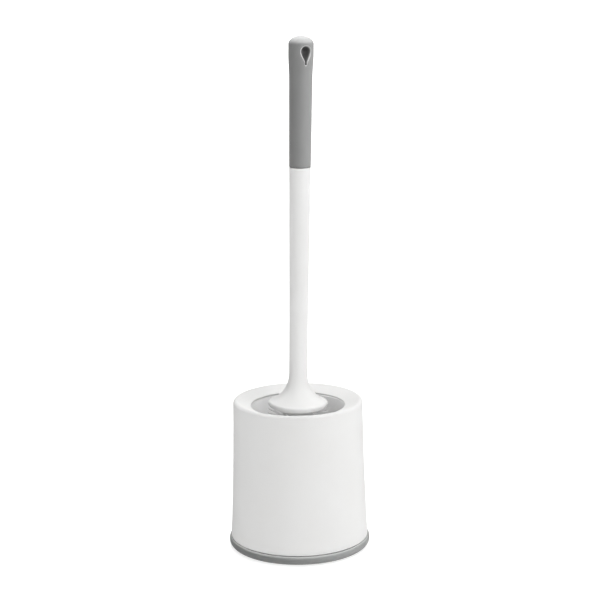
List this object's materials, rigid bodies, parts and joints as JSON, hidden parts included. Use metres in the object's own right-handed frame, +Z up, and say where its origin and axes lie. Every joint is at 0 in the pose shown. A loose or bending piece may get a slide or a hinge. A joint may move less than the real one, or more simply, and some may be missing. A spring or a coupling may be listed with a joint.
{
  "type": "toilet brush holder",
  "caption": "Round toilet brush holder: tapered lift-off shell over a drip cup and tray, with a leaning brush that lifts out by its hanging grip.",
  "frame": {"origin": "centre of the holder's footprint on the floor", "axes": "+Z up, along the holder's axis; Y along the grip's hanging hole; the brush leans towards +X"},
  "size_m": [0.12, 0.12, 0.4321],
  "materials": {
    "white_plastic": "satin white",
    "cup_plastic": "plain off-white",
    "grey_plastic": "satin mid grey",
    "grip_rubber": "soft-touch mid grey",
    "pad_rubber": "matt dark grey",
    "bristle_plastic": "white filaments"
  },
  "bodies": {
    "base": {"base_tray": "grey_plastic", "foot_pad_1": "pad_rubber", "foot_pad_2": "pad_rubber", "foot_pad_3": "pad_rubber", "foot_pad_4": "pad_rubber", "inner_cup": "cup_plastic"},
    "shell": {"outer_shell": "white_plastic"},
    "brush": {"handle_rod": "white_plastic", "grip_sleeve": "grip_rubber", "head_core": "white_plastic", "bristle_row_1": "bristle_plastic", "bristle_row_2": "bristle_plastic", "bristle_row_3": "bristle_plastic", "bristle_row_4": "bristle_plastic", "bristle_row_5": "bristle_plastic", "bristle_row_6": "bristle_plastic", "bristle_row_7": "bristle_plastic", "bristle_row_8": "bristle_plastic", "bristle_dome_row": "bristle_plastic", "bristle_tip": "bristle_plastic"}
  },
  "joints": [
    {"name": "shell_lift", "type": "slide", "parent": "base", "child": "shell", "axis": [0, 0, 1], "range_m": [0, 0.12]},
    {"name": "brush_lift", "type": "slide", "parent": "base", "child": "brush", "axis": [0.0236, 0, 0.9997], "range_m": [0, 0.125]}
  ]
}
